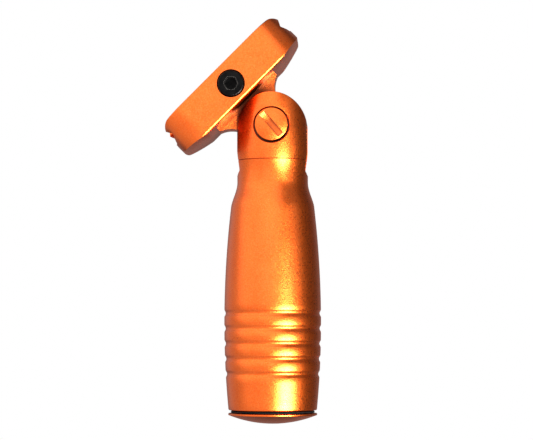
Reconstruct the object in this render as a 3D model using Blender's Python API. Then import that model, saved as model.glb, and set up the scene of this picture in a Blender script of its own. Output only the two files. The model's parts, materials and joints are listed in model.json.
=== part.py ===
"""A folding hand grip that clamps onto an accessory rail.

A one-piece clamp head slides onto a dovetail rail and is locked there by a cross screw.
The head's tongue carries a hollow barrel grip on a pivot, and a sealed cap closes the grip's store.
Frame: +Z up along the hanging grip, +Y along the pivot away from the slotted screw face,
origin where the rail's top face meets the middle of the clamp's channel.
"""
import math

import bmesh
import bpy
from mathutils import Matrix, Vector

MM = 0.001  # sizes below are in millimetres and are scaled once, when a mesh is made
GAP = 0.3  # clearance left between neighbouring pieces
FINE_GAP = 0.15  # clearance round small fasteners and washers
PAST = 1.0  # how far a cutter runs past the face that it starts from

# Clamp head, in its own frame: x along the rail, y across it, z out of the channel's mouth.
HEAD_TILT = math.radians(-45.0)  # turn of the head about the pivot direction
HEAD_HALF_LENGTH = 27.0
HEAD_HALF_WIDTH = 15.0
HEAD_CORNER = 10.0
LIP_TOP = 7.5
HEAD_BOTTOM = -5.6
RELIEF_START = 14.5  # beyond this distance the underside rises to clear the folded grip
RELIEF_SLOPE = math.tan(math.radians(10.5))

# Dovetail channel for a 21.2 mm wide rail with 45 degree flanks.
FLOOR_HALF = 7.85
WIDE_HALF = 10.6
WIDE_BAND = 0.45
MOUTH_HALF = 8.1

# Tongue and its hub round the pivot.
PIVOT_DROP = 17.9  # from the channel floor to the pivot
TONGUE_HALF = 4.55
HUB_RADIUS = 7.6
FLARE_RADIUS = 9.0
FLARE_RISE = 2.76  # height of the flare arc's centre above the pivot
FLARE_TIP = 14.2
RECESS_RADIUS = 6.5
RECESS_FLOOR = 3.8

# Cross screw, M5 with a low socket head, its washer and its thin hexagon nut.
CROSS_HEIGHT = 0.72
M5_RADIUS = 2.5
CROSS_HOLE = 2.75
CROSS_SEAT = 11.7  # distance of both screw seats from the middle plane
CROSS_POCKET_RADIUS = 4.65
CROSS_HEAD_RADIUS = 4.25
CROSS_HEAD_HEIGHT = 3.1
CROSS_WASHER = 0.5
CROSS_KEY = 4.0  # across the flats
CROSS_KEY_DEPTH = 2.0
NUT_FLATS = 8.0
NUT_HEIGHT = 2.7
NUT_POCKET_FLATS = 8.6
SCREW_END = 14.8
HEAD_EDGE = 0.3  # bevel round a screw head or a nut's flange
POINT_INSET = 0.4  # the chamfer at the screw's end, across and along
POINT_LENGTH = 0.6

# Pivot set: slotted screw, spring washer, bush, friction washers and barrel nut.
PIVOT_SHANK = 2.9
PIVOT_HOLE = 3.3
PIVOT_POCKET_RADIUS = 5.9
PIVOT_POCKET_FLOOR = 8.2
PIVOT_HEAD_RADIUS = 5.4
PIVOT_HEAD_BACK = 9.3
PIVOT_FACE = 13.5  # edge of the face; the middle stands PIVOT_CROWN further out
PIVOT_CROWN = 0.25
PIVOT_BEVEL = 0.25
COIN_SLOT = (9.1, 2.0, 1.5)  # length, width, depth
COIN_SLOT_TURN = math.radians(49.0)
SPRING_WASHER = 0.7
BUSH_RADIUS = 4.0
BUSH_HALF = 3.9
WASHER_RADIUS = 6.2
WASHER_THICK = 0.7
NUT_BARREL = 4.2
NUT_BARREL_START = 5.0
NUT_BARREL_HOLE = 4.5
NUT_THREAD = 3.05
NUT_THREAD_END = 10.6
THREAD_SPARE = 1.0  # thread left beyond the screw's end
NUT_PROUD = 0.2  # how far the nut's face stands beyond the knuckle

# Grip, measured from the pivot downwards along its axis.
TURN_STEPS = 48
KNUCKLE_RADIUS = 12.55
SLOT_HALF = 4.85
SLOT_FLOOR = 8.6
SLOT_FLOOR_RADIUS = 12.8
EAR_CENTRE = -0.6
KNUCKLE_END = -10.43
NECK_RADIUS = 11.77
NECK_START = -17.1
NECK_END = -18.4
SHOULDER = (13.82, -26.2)  # radius and height where the long belly arc begins
WAIST = (16.07, -64.8)  # the fullest point
BELLY_ARC_UP = 331.0
BELLY_ARC_DOWN = 300.0
GRIP_END = -93.9
GROOVE_FIRST = -61.93
GROOVE_PITCH = -5.0
GROOVE_COUNT = 5
GROOVE_HALF = 1.25
GROOVE_DEPTH = 0.45
RIM_BEVEL = 0.3
BELLY_HEIGHTS = (-32.0, -38.0, -44.0, -50.0, -56.0)  # where the long arc is cut into steps
LAST_HEIGHT = -87.0  # between the lowest groove and the rim
STORE_RADIUS = 12.0
STORE_TOP = -32.0
STORE_SHOULDER = -38.0
STORE_TOP_RADIUS = 8.0

# End cap and its seal.
CAP_TOP = -94.9
CAP_RADIUS = 14.75
CAP_BOTTOM = -98.4
CAP_DOME = 39.0
SPIGOT_RADIUS = 11.7
SPIGOT_TOP = -86.5
CAP_POCKET_RADIUS = 8.8
CAP_POCKET_FLOOR = -93.5
SPIGOT_BEVEL = 0.5
SEAL_INNER = 12.5
SEAL_OUTER = 13.92
SEAL_TOP = -94.05
SEAL_BOTTOM = -94.8
SEAL_BEVEL = 0.2

ORANGE = (0.80, 0.17, 0.02)
BLACK_STEEL = (0.03, 0.03, 0.032)
PLAIN_STEEL = (0.55, 0.55, 0.56)
BRONZE = (0.60, 0.40, 0.18)
NYLON = (0.72, 0.70, 0.64)
RUBBER = (0.02, 0.02, 0.02)


def clear_scene():
    for thing in list(bpy.data.objects):
        bpy.data.objects.remove(thing, do_unlink=True)


def material(name, colour, roughness, metallic):
    found = bpy.data.materials.get(name) or bpy.data.materials.new(name)
    found.use_nodes = True
    shader = found.node_tree.nodes["Principled BSDF"]
    shader.inputs["Base Color"].default_value = (*colour, 1.0)
    shader.inputs["Roughness"].default_value = roughness
    shader.inputs["Metallic"].default_value = metallic
    return found


def empty(name, location, turn=0.0):
    """A frame for a group of pieces, turned about Y."""
    frame = bpy.data.objects.new(name, None)
    frame.location = Vector(location) * MM
    frame.rotation_euler = (0.0, turn, 0.0)
    bpy.context.collection.objects.link(frame)
    return frame


def finish(name, shape, finish_material=None, parent=None):
    """An object from a bmesh in millimetres, with its faces pointing out."""
    bmesh.ops.recalc_face_normals(shape, faces=shape.faces)
    bmesh.ops.scale(shape, vec=(MM, MM, MM), verts=shape.verts)
    mesh = bpy.data.meshes.new(name)
    shape.to_mesh(mesh)
    shape.free()
    mesh.shade_smooth()
    mesh.set_sharp_from_angle(angle=math.radians(30.0))
    piece = bpy.data.objects.new(name, mesh)
    bpy.context.collection.objects.link(piece)
    piece.parent = parent
    if finish_material:
        mesh.materials.append(finish_material)
    return piece


def turned(profile, steps=TURN_STEPS, along_y=False):
    """A solid of revolution about Z, or about Y, from a closed profile of (radius, height)."""
    shape = bmesh.new()
    points = [shape.verts.new((radius, 0.0, height)) for radius, height in profile]
    edges = [shape.edges.new((a, b)) for a, b in zip(points, points[1:] + points[:1])]
    bmesh.ops.spin(
        shape,
        geom=points + edges,
        axis=(0.0, 0.0, 1.0),
        angle=math.tau,
        steps=steps,
        use_merge=True,
    )
    bmesh.ops.remove_doubles(shape, verts=shape.verts, dist=0.0005)
    bmesh.ops.dissolve_degenerate(shape, dist=0.0005, edges=shape.edges)
    on_axis = [edge for edge in shape.edges if not edge.link_faces]
    bmesh.ops.delete(shape, geom=on_axis, context="EDGES")
    if along_y:
        bmesh.ops.rotate(shape, matrix=Matrix.Rotation(math.radians(-90.0), 3, "X"), verts=shape.verts)
    return shape


def prism(outline, low, high, plane="XZ"):
    """A flat outline pushed from low to high along the axis that its plane leaves out."""
    places = {
        "XZ": lambda a, b: (a, low, b),
        "YZ": lambda a, b: (low, a, b),
        "XY": lambda a, b: (a, b, low),
    }
    pushes = {"XZ": (0, high - low, 0), "YZ": (high - low, 0, 0), "XY": (0, 0, high - low)}
    shape = bmesh.new()
    base = shape.faces.new([shape.verts.new(places[plane](a, b)) for a, b in outline])
    pushed = bmesh.ops.extrude_face_region(shape, geom=[base])
    far = [item for item in pushed["geom"] if isinstance(item, bmesh.types.BMVert)]
    bmesh.ops.translate(shape, vec=pushes[plane], verts=far)
    return shape


def arc(centre, radius, start, end, steps):
    """Points on a circle from one angle to another, in degrees, both ends included."""
    angles = [math.radians(start + (end - start) * i / steps) for i in range(steps + 1)]
    return [(centre[0] + radius * math.cos(a), centre[1] + radius * math.sin(a)) for a in angles]


def polygon(flats, sides=6, turn=0.0):
    """A regular outline with the given distance across its flats."""
    radius = flats / 2.0 / math.cos(math.pi / sides)
    return [
        (radius * math.cos(turn + math.tau * i / sides), radius * math.sin(turn + math.tau * i / sides))
        for i in range(sides)
    ]


def shift(outline, across, up):
    return [(a + across, b + up) for a, b in outline]


def combine(piece, shape, how="DIFFERENCE"):
    """Cut, join or intersect a piece with another shape, which stays as a hidden guide."""
    guide = finish(f"{piece.name}_guide_{len(piece.modifiers)}", shape, parent=piece.parent)
    guide.hide_render = True
    guide.display_type = "WIRE"
    step = piece.modifiers.new(how.title(), "BOOLEAN")
    step.operation = how
    step.solver = "EXACT"
    step.object = guide


def ring(inner, outer, low, high, steps=32):
    return turned([(outer, high), (outer, low), (inner, low), (inner, high)], steps, along_y=True)


def rod(radius, low, high, steps=32):
    return turned([(0.0, high), (radius, high), (radius, low), (0.0, low)], steps, along_y=True)


def stepped_rod(steps):
    """A rod along Y from a list of (radius, low, high) that follow one another towards +Y."""
    profile = [(0.0, steps[0][1])]
    for radius, low, high in steps:
        profile += [(radius, low), (radius, high)]
    profile.append((0.0, steps[-1][2]))
    return turned(profile, 32, along_y=True)


def moved(shape, x=0.0, y=0.0, z=0.0):
    bmesh.ops.translate(shape, vec=(x, y, z), verts=shape.verts)
    return shape


def clamp_head(parent, orange):
    length = HEAD_HALF_LENGTH - HEAD_CORNER
    width = HEAD_HALF_WIDTH - HEAD_CORNER
    corners = ((length, width, 0), (-length, width, 90), (-length, -width, 180), (length, -width, 270))
    plan = [p for x, y, a in corners for p in arc((x, y), HEAD_CORNER, a, a + 90, 8)]
    piece = finish("clamp_head", prism(plan, HEAD_BOTTOM - PAST, LIP_TOP, "XY"), orange, parent)
    reach = HEAD_HALF_LENGTH + PAST
    rise = HEAD_BOTTOM + (reach - RELIEF_START) * RELIEF_SLOPE
    side = [
        (-reach, rise),
        (-RELIEF_START, HEAD_BOTTOM),
        (RELIEF_START, HEAD_BOTTOM),
        (reach, rise),
        (reach, LIP_TOP + PAST),
        (-reach, LIP_TOP + PAST),
    ]
    combine(piece, prism(side, -HEAD_HALF_WIDTH - PAST, HEAD_HALF_WIDTH + PAST), "INTERSECT")

    pivot = -PIVOT_DROP
    flare = (HUB_RADIUS + FLARE_RADIUS, pivot + FLARE_RISE)
    tip = math.degrees(math.acos((FLARE_TIP - flare[0]) / FLARE_RADIUS))
    right = arc(flare, FLARE_RADIUS, tip, 180.0, 10)
    left = [(-x, z) for x, z in reversed(right)]
    inside = HEAD_BOTTOM + PAST
    hub = arc((0.0, pivot), HUB_RADIUS, 0.0, -180.0, 20)
    tongue = [(FLARE_TIP, inside), *right, *hub, *left, (-FLARE_TIP, inside)]
    combine(piece, prism(tongue, -TONGUE_HALF, TONGUE_HALF), "UNION")

    flank = WIDE_HALF - FLOOR_HALF
    band = flank + WIDE_BAND
    lip = band + WIDE_HALF - MOUTH_HALF
    half = [(FLOOR_HALF, 0.0), (WIDE_HALF, flank), (WIDE_HALF, band), (MOUTH_HALF, lip), (MOUTH_HALF, LIP_TOP + PAST)]
    channel = half + [(-y, z) for y, z in reversed(half)]
    combine(piece, prism(channel, -reach, reach, "YZ"))

    outside = HEAD_HALF_WIDTH + PAST
    screw_way = ((CROSS_POCKET_RADIUS, -outside, -CROSS_SEAT), (CROSS_HOLE, -CROSS_SEAT, CROSS_SEAT + PAST))
    combine(piece, moved(stepped_rod(screw_way), z=CROSS_HEIGHT))
    pocket = shift(polygon(NUT_POCKET_FLATS), 0.0, CROSS_HEIGHT)
    combine(piece, prism(pocket, CROSS_SEAT, outside))
    past = TONGUE_HALF + PAST
    hub_bore = (
        (RECESS_RADIUS, -past, -RECESS_FLOOR),
        (BUSH_RADIUS + GAP, -RECESS_FLOOR, RECESS_FLOOR),
        (RECESS_RADIUS, RECESS_FLOOR, past),
    )
    combine(piece, moved(stepped_rod(hub_bore), z=pivot))
    return piece


def cross_screw_set(frame, screw_frame, black, steel):
    """The screw across the channel; its origin and its parent frame lie on its own axis."""
    washer_out = CROSS_SEAT + FINE_GAP + CROSS_WASHER
    finish("cross_screw_washer", ring(M5_RADIUS + GAP, CROSS_HEAD_RADIUS, -washer_out,
                                      -CROSS_SEAT - FINE_GAP), steel, screw_frame)
    back = -washer_out - FINE_GAP
    face = back - CROSS_HEAD_HEIGHT
    profile = [
        (0.0, SCREW_END),
        (M5_RADIUS - POINT_INSET, SCREW_END),
        (M5_RADIUS, SCREW_END - POINT_LENGTH),
        (M5_RADIUS, back),
        (CROSS_HEAD_RADIUS, back),
        (CROSS_HEAD_RADIUS, face + HEAD_EDGE),
        (CROSS_HEAD_RADIUS - HEAD_EDGE, face),
        (0.0, face),
    ]
    screw = finish("cross_screw", turned(profile, 32, along_y=True), black, screw_frame)
    combine(screw, prism(polygon(CROSS_KEY), face - PAST, face + CROSS_KEY_DEPTH))
    low = CROSS_SEAT + FINE_GAP
    nut = finish("cross_screw_nut", prism(shift(polygon(NUT_FLATS), 0.0, CROSS_HEIGHT), low,
                                          low + NUT_HEIGHT), steel, frame)
    combine(nut, moved(rod(M5_RADIUS + FINE_GAP, low - PAST, low + NUT_HEIGHT + PAST), z=CROSS_HEIGHT))


def coin_slot(face):
    """A cutter for the closed slot across a round face at y = face, open towards -Y."""
    length, width, depth = COIN_SLOT
    half = (length / 2.0, width / 2.0)
    outline = [(-half[0], -half[1]), (half[0], -half[1]), (half[0], half[1]), (-half[0], half[1])]
    cutter = prism(outline, face - PAST, face + depth)
    bmesh.ops.rotate(cutter, matrix=Matrix.Rotation(COIN_SLOT_TURN, 3, "Y"), verts=cutter.verts)
    return cutter


def crowned_head(back, edge_face):
    """The outer half of a screw head's profile, from its back to the crown of its face."""
    reach = PIVOT_HEAD_RADIUS - PIVOT_BEVEL
    dome = [reach * (1.0 - i / 4.0) for i in range(1, 5)]
    return [
        (PIVOT_HEAD_RADIUS, back),
        (PIVOT_HEAD_RADIUS, edge_face + PIVOT_BEVEL),
        (reach, edge_face),
        *[(r, edge_face - PIVOT_CROWN * (1.0 - (r / reach) ** 2)) for r in dome],
    ]


def pivot_set(head_frame, fold_frame, orange, steel, bronze, nylon):
    bush = moved(ring(PIVOT_HOLE, BUSH_RADIUS, -BUSH_HALF, BUSH_HALF), z=-PIVOT_DROP)
    finish("pivot_bush", bush, bronze, head_frame)
    inner = BUSH_RADIUS + FINE_GAP
    near = RECESS_FLOOR + FINE_GAP
    far = near + WASHER_THICK
    finish("friction_washer_front", ring(inner, WASHER_RADIUS, -far, -near), nylon, fold_frame)
    finish("friction_washer_rear", ring(inner, WASHER_RADIUS, near, far), nylon, fold_frame)
    high = -PIVOT_POCKET_FLOOR - FINE_GAP
    finish("pivot_spring_washer", ring(PIVOT_SHANK + GAP, PIVOT_HEAD_RADIUS, high - SPRING_WASHER, high),
           steel, fold_frame)
    shank_end = NUT_THREAD_END - THREAD_SPARE
    screw_profile = [
        (0.0, shank_end),
        (PIVOT_SHANK, shank_end),
        (PIVOT_SHANK, -PIVOT_HEAD_BACK),
        *crowned_head(-PIVOT_HEAD_BACK, -PIVOT_FACE),
    ]
    screw = finish("pivot_screw", turned(screw_profile, 32, along_y=True), orange, fold_frame)
    combine(screw, coin_slot(-PIVOT_FACE - PIVOT_CROWN))
    flange = PIVOT_POCKET_FLOOR + FINE_GAP
    face = KNUCKLE_RADIUS + NUT_PROUD
    nut_profile = [
        (NUT_THREAD, NUT_BARREL_START),
        (NUT_THREAD, NUT_THREAD_END),
        (0.0, NUT_THREAD_END),
        (0.0, face),
        (PIVOT_HEAD_RADIUS - HEAD_EDGE, face),
        (PIVOT_HEAD_RADIUS, face - HEAD_EDGE),
        (PIVOT_HEAD_RADIUS, flange),
        (NUT_BARREL, flange),
        (NUT_BARREL, NUT_BARREL_START),
    ]
    finish("pivot_nut", turned(nut_profile, 32, along_y=True), orange, fold_frame)


def knuckle_fillet():
    """The hollow sweep from the knuckle's edge into the neck, part of one large arc."""
    drop = KNUCKLE_END - NECK_START
    step = KNUCKLE_RADIUS - NECK_RADIUS
    radius = (drop ** 2 + step ** 2) / (2.0 * step)
    heights = [NECK_START + drop * i / 4.0 for i in range(4, -1, -1)]
    return [(NECK_RADIUS + radius - math.sqrt(radius ** 2 - (z - NECK_START) ** 2), z) for z in heights]


def shoulder_sweep():
    """The double curve from the neck out to the belly, with the belly's own slope at its end."""
    radius, end = SHOULDER
    drop = NECK_END - end
    slope = (WAIST[1] - end) / -BELLY_ARC_UP * drop
    points = []
    for i in range(9):
        t = i / 8.0
        out = (3.0 * t ** 2 - 2.0 * t ** 3) * (radius - NECK_RADIUS) + (t ** 3 - t ** 2) * slope
        points.append((NECK_RADIUS + out, NECK_END - drop * t))
    return points


def belly_radius(z):
    bend = BELLY_ARC_UP if z > WAIST[1] else BELLY_ARC_DOWN
    return WAIST[0] - (z - WAIST[1]) ** 2 / (2.0 * bend)


def grip_outside():
    """The turned outline of the grip from the top of the knuckle to its lower edge."""
    points = [(0.0, KNUCKLE_RADIUS), (KNUCKLE_RADIUS, KNUCKLE_RADIUS)]
    points += knuckle_fillet() + shoulder_sweep()
    points += [(belly_radius(z), z) for z in BELLY_HEIGHTS]
    for i in range(GROOVE_COUNT):
        middle = GROOVE_FIRST + GROOVE_PITCH * i
        for place, depth in ((1.0, 0.0), (0.5, 0.75), (0.0, 1.0), (-0.5, 0.75), (-1.0, 0.0)):
            z = middle + place * GROOVE_HALF
            points.append((belly_radius(z) - depth * GROOVE_DEPTH, z))
    points += [(belly_radius(z), z) for z in (LAST_HEIGHT, GRIP_END + RIM_BEVEL)]
    points.append((belly_radius(GRIP_END) - RIM_BEVEL, GRIP_END))
    return points


def grip_body(parent, orange):
    store = [
        (STORE_RADIUS, GRIP_END),
        (STORE_RADIUS, STORE_SHOULDER),
        (STORE_TOP_RADIUS, STORE_TOP),
        (0.0, STORE_TOP),
    ]
    piece = finish("grip_body", turned(grip_outside() + store), orange, parent)
    side = KNUCKLE_RADIUS + PAST
    round_top = math.sqrt(KNUCKLE_RADIUS ** 2 - SLOT_HALF ** 2)
    over = arc((0.0, EAR_CENTRE), round_top, 0.0, 180.0, 32)
    corners = [*over, (-side, EAR_CENTRE), (-side, side), (side, side), (side, EAR_CENTRE)]
    combine(piece, prism(corners, -side, side))
    low = -SLOT_FLOOR - SLOT_FLOOR_RADIUS
    floor = arc((0.0, low), SLOT_FLOOR_RADIUS, 168.0, 12.0, 20)
    slot = [(-side, floor[0][1]), *floor, (side, floor[-1][1]), (side, side), (-side, side)]
    combine(piece, prism(slot, -SLOT_HALF, SLOT_HALF))
    pivot_way = (
        (PIVOT_POCKET_RADIUS, -side, -PIVOT_POCKET_FLOOR),
        (PIVOT_HOLE, -PIVOT_POCKET_FLOOR, 0.0),
        (NUT_BARREL_HOLE, 0.0, PIVOT_POCKET_FLOOR),
        (PIVOT_POCKET_RADIUS, PIVOT_POCKET_FLOOR, side),
    )
    combine(piece, stepped_rod(pivot_way))
    return piece


def end_cap_set(parent, orange, rubber):
    seal = [
        (SEAL_INNER, SEAL_TOP),
        (SEAL_OUTER - SEAL_BEVEL, SEAL_TOP),
        (SEAL_OUTER, (SEAL_TOP + SEAL_BOTTOM) / 2.0),
        (SEAL_OUTER - SEAL_BEVEL, SEAL_BOTTOM),
        (SEAL_INNER, SEAL_BOTTOM),
    ]
    finish("cap_o_ring", turned(seal), rubber, parent)
    rings = [CAP_RADIUS * (1.0 - i / 8.0) for i in range(9)]
    dome = [(r, CAP_BOTTOM + CAP_DOME - math.sqrt(CAP_DOME ** 2 - r ** 2)) for r in rings]
    profile = [
        (0.0, CAP_POCKET_FLOOR),
        (CAP_POCKET_RADIUS, CAP_POCKET_FLOOR),
        (CAP_POCKET_RADIUS, SPIGOT_TOP),
        (SPIGOT_RADIUS - SPIGOT_BEVEL, SPIGOT_TOP),
        (SPIGOT_RADIUS, SPIGOT_TOP - SPIGOT_BEVEL),
        (SPIGOT_RADIUS, CAP_TOP),
        (CAP_RADIUS, CAP_TOP),
        *dome,
    ]
    finish("end_cap", turned(profile), orange, parent)


def build():
    clear_scene()
    orange = material("orange_anodised", ORANGE, 0.35, 1.0)
    black = material("black_steel", BLACK_STEEL, 0.4, 0.8)
    steel = material("plain_steel", PLAIN_STEEL, 0.3, 1.0)
    bronze = material("bronze", BRONZE, 0.4, 1.0)
    nylon = material("nylon", NYLON, 0.5, 0.0)
    rubber = material("seal_rubber", RUBBER, 0.6, 0.0)

    head_frame = empty("head_frame", (0.0, 0.0, 0.0), HEAD_TILT)
    screw_place = (CROSS_HEIGHT * math.sin(HEAD_TILT), 0.0, CROSS_HEIGHT * math.cos(HEAD_TILT))
    screw_frame = empty("cross_screw_frame", screw_place, HEAD_TILT)
    pivot_place = (-PIVOT_DROP * math.sin(HEAD_TILT), 0.0, -PIVOT_DROP * math.cos(HEAD_TILT))
    fold_frame = empty("fold_frame", pivot_place)

    clamp_head(head_frame, orange)
    cross_screw_set(head_frame, screw_frame, black, steel)
    pivot_set(head_frame, fold_frame, orange, steel, bronze, nylon)
    grip_body(fold_frame, orange)
    end_cap_set(fold_frame, orange, rubber)


build()
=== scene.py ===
"""The looks of the folding rail-clamp hand grip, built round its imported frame.

Eight pieces are made here as fine meshes in their CAD nodes' places, and ride on the same bodies. The washers
and the bush keep their CAD shapes and get finishes.
Shapes are in millimetres, and the camera, the studio and the finishes in metres. Places come from the packed
joints and mounts.
"""
import json
import math

import bmesh
import bpy
from mathutils import Matrix, Vector


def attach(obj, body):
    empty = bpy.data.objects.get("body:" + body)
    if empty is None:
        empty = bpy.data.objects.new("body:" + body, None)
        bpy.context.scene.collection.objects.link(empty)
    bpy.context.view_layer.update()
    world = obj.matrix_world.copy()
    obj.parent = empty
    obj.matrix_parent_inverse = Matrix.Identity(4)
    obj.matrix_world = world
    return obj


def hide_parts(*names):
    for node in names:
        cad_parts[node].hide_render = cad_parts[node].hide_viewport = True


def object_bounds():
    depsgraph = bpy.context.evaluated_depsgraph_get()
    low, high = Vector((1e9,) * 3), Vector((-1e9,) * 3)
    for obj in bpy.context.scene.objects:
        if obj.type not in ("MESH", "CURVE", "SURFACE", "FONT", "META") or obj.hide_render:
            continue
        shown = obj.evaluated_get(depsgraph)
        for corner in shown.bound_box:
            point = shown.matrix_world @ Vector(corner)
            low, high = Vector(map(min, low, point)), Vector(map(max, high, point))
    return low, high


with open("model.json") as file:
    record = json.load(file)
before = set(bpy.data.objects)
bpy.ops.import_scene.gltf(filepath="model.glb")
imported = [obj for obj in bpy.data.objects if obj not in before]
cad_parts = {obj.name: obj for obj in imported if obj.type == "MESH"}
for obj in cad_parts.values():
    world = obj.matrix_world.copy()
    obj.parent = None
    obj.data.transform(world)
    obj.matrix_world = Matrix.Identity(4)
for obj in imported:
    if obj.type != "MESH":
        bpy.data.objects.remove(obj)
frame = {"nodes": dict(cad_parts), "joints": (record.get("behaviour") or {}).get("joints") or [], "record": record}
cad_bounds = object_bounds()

MM = 0.001
PAST = 1.0  # how far a cutter runs past the face that it starts from
SMOOTH_ANGLE = math.radians(32.0)
MERGE = 0.0005  # points closer than this become one
CUTTER_REACH = 6.0  # how far the cutters for chamfered mouths stand beyond the knuckle
MOUTH_REACH = 0.3  # how far a chamfer's cutter runs past the surface

JOINTS = {joint["name"]: joint for joint in frame["joints"]}
MOUNTS = {mount["name"]: mount for mount in frame["record"]["mounts"]}
CLAMP_AXIS = Vector(MOUNTS["rail_clamp"]["axis"])
HEAD_TILT = math.atan2(CLAMP_AXIS.x, CLAMP_AXIS.z)
HEAD_PLACE = Matrix.Translation(MOUNTS["rail_clamp"]["pos_m"]) @ Matrix.Rotation(HEAD_TILT, 4, "Y")
SCREW_PLACE = Matrix.Translation(JOINTS["cross_screw_turn"]["pos_m"]) @ Matrix.Rotation(HEAD_TILT, 4, "Y")
FOLD_PLACE = Matrix.Translation(JOINTS["grip_fold"]["pos_m"])

# Clamp head: x along the rail, y across it, z out of the channel's mouth.
HEAD_HALF_LENGTH = 26.8
HEAD_HALF_WIDTH = 15.0
HEAD_CORNER = 10.0
LIP_TOP = 7.5
HEAD_BOTTOM = -5.6
BOTTOM_ROUND = 0.85  # the large round along the underside's edges
LIP_ROUND = 0.35
LIP_END_ROUND = 4.2  # the ends' corners, seen from the side
BASE_END_ROUND = 1.4
RELIEF_START = 16.6
RELIEF_SLOPE = math.tan(math.radians(11.3))
FLOOR_HALF = 7.85
WIDE_HALF = 10.6
WIDE_BAND = 0.45
MOUTH_HALF = 8.1
PIVOT_DROP = 17.9
TONGUE_HALF = 4.55
HUB_RADIUS = 7.6
FLARE_RADIUS = 9.0
FLARE_RISE = 2.76
FLARE_TIP = 13.3
RECESS_RADIUS = 6.5
RECESS_FLOOR = 3.8
BUSH_HOLE = 4.3
HEAD_EDGE = 0.18  # the fine bevel on machined edges
SHORTEST_BEVELLED = 0.05  # edges shorter than this are left sharp

# Cross screw and its nut.
CROSS_HEIGHT = 0.72
M5_RADIUS = 2.5
M5_PITCH = 0.8
M5_THREAD = 0.4  # the thread's depth
CROSS_HOLE = 2.75
CROSS_SEAT = 11.7
CROSS_POCKET_RADIUS = 4.5
CROSS_POCKET_CHAMFER = 0.15
CROSS_HEAD_RADIUS = 4.25
CROSS_HEAD_BACK = -12.5
CROSS_HEAD_FACE = -15.6
CROSS_HEAD_BEVEL = 0.35
CROSS_BACK_BEVEL = 0.15
CROSS_FILLET = 0.2  # where the shank meets the head
CROSS_KEY = 4.0
CROSS_KEY_DEPTH = 2.0
CROSS_KEY_LEAD = 0.15  # the socket's chamfer, narrower than the hexagon's corners
CROSS_KEY_TURN = math.radians(12.0)
CROSS_DRILL_INSET = 0.2  # the drilled bottom of the socket, inside its flats
CROSS_DRILL_POINT = 0.7
CROSS_THREAD_START = 1.0
SHANK_TUCK = 0.3  # how far the plain shank reaches into the threaded part
NUT_FLATS = 8.0
NUT_BACK = 11.85
NUT_HEIGHT = 2.7
NUT_POCKET_FLATS = 8.6
NUT_CORNER = 0.45  # how deep the corners are turned off
NUT_CORNER_SPREAD = 1.7  # how much wider than deep
NUT_CLEARANCE = 0.15
NUT_LEAD = 0.3
SCREW_END = 14.8

# Pivot screw and barrel nut, along y from the pivot.
PIVOT_HEAD_RADIUS = 5.4
PIVOT_HEAD_BACK = -9.3
PIVOT_FACE = -13.05  # the edge of the screw's face
PIVOT_CROWN = 0.7  # how far the middle stands beyond the edge, on the screw and on the nut
PIVOT_BEVEL = 0.22
PIVOT_BACK_BEVEL = 0.2
PIVOT_SHANK = 2.9
PIVOT_SHANK_END = 9.6
PIVOT_TIP_BEVEL = 0.4
PIVOT_POCKET_RADIUS = 5.9
PIVOT_POCKET_SAG = 0.18  # the pockets sit a little low round the screw and the nut
PIVOT_POCKET_CHAMFER = 0.2
PIVOT_POCKET_FLOOR = 8.2
PIVOT_HOLE = 3.3
BARREL_HOLE = 4.5
COIN_HALF_LENGTH = 4.55
COIN_HALF_WIDTH = 1.0
COIN_DEPTH = 1.75  # both depths are measured from the middle of the face
COIN_END_DEPTH = 1.05
COIN_CHAMFER = 0.16
COIN_TURN = math.radians(49.0)
NUT_BARREL = 4.2
NUT_BARREL_START = 5.0
NUT_FLANGE = 8.35
NUT_FACE = 12.75
NUT_THREAD = 3.05
NUT_THREAD_LEAD = 0.3
NUT_THREAD_END = 10.6

# Grip, measured from the pivot along its axis.
GRIP_STEPS = 164
KNUCKLE_RADIUS = 12.65
KNUCKLE_CREASE = -7.9  # where the knuckle starts to narrow
KNUCKLE_END = -11.2
KNUCKLE_END_RADIUS = 12.3
SCORE = 0.16  # the fine turned line under the knuckle: half its width
SCORE_DEPTH = 0.22
NECK_RADIUS = 11.77
NECK_START = -17.1
NECK_END = -18.4
SHOULDER = (13.82, -26.2)
SHOULDER_CREASE = 1.9  # how much steeper the shoulder runs out than the belly starts
WAIST = (16.07, -64.8)
BELLY_ARC_UP = 331.0
BELLY_ARC_DOWN = 300.0
GRIP_END = -93.9
RIM_BEVEL = 0.35
GROOVE_FIRST = -61.93
GROOVE_PITCH = -5.0
GROOVE_COUNT = 5
GROOVE_HALF = 1.25
GROOVE_DEPTH = 0.45
GROOVE_FULLNESS = 0.7  # below 1, the groove's bottom is wider
SLOT_HALF = 4.85
SLOT_FLOOR = -8.6
SLOT_FLOOR_RADIUS = 12.8
EAR_CENTRE = -0.9
EAR_EDGE = 0.2
EAR_FOOT = -10.0  # the ears' edges are rounded down to here
EAR_MARGIN = 0.1
STORE_RADIUS = 12.0
STORE_BEVEL = 0.3
STORE_TOP = -32.0
STORE_SHOULDER = -38.0
STORE_TOP_RADIUS = 8.0

# End cap and seal.
CAP_TOP = -94.9
CAP_RADIUS = 14.75
CAP_BOTTOM = -98.4
CAP_DOME = 39.0
CAP_EDGE = 0.3
CAP_TOP_BEVEL = 0.2
SPIGOT_RADIUS = 11.7
SPIGOT_TOP = -86.5
SPIGOT_PITCH = 1.5
SPIGOT_THREAD = 0.45
SPIGOT_BEVEL = 0.4
SPIGOT_THREAD_START = 7.2  # both are measured down from the spigot's top
SPIGOT_THREAD_END = 0.5
CAP_POCKET_RADIUS = 8.8
CAP_POCKET_FLOOR = -93.5
SEAL_INNER = 12.5
SEAL_OUTER = 13.92
SEAL_TOP = -94.05
SEAL_BOTTOM = -94.8

CAMERA_PLACE = Vector((0.0368, -0.6645, -0.0808))
CAMERA_TARGET = Vector((0.0106, 0.0, -0.0435))
SENSOR_WIDTH = 36.0
FOCAL_LENGTH = 135.0

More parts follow.
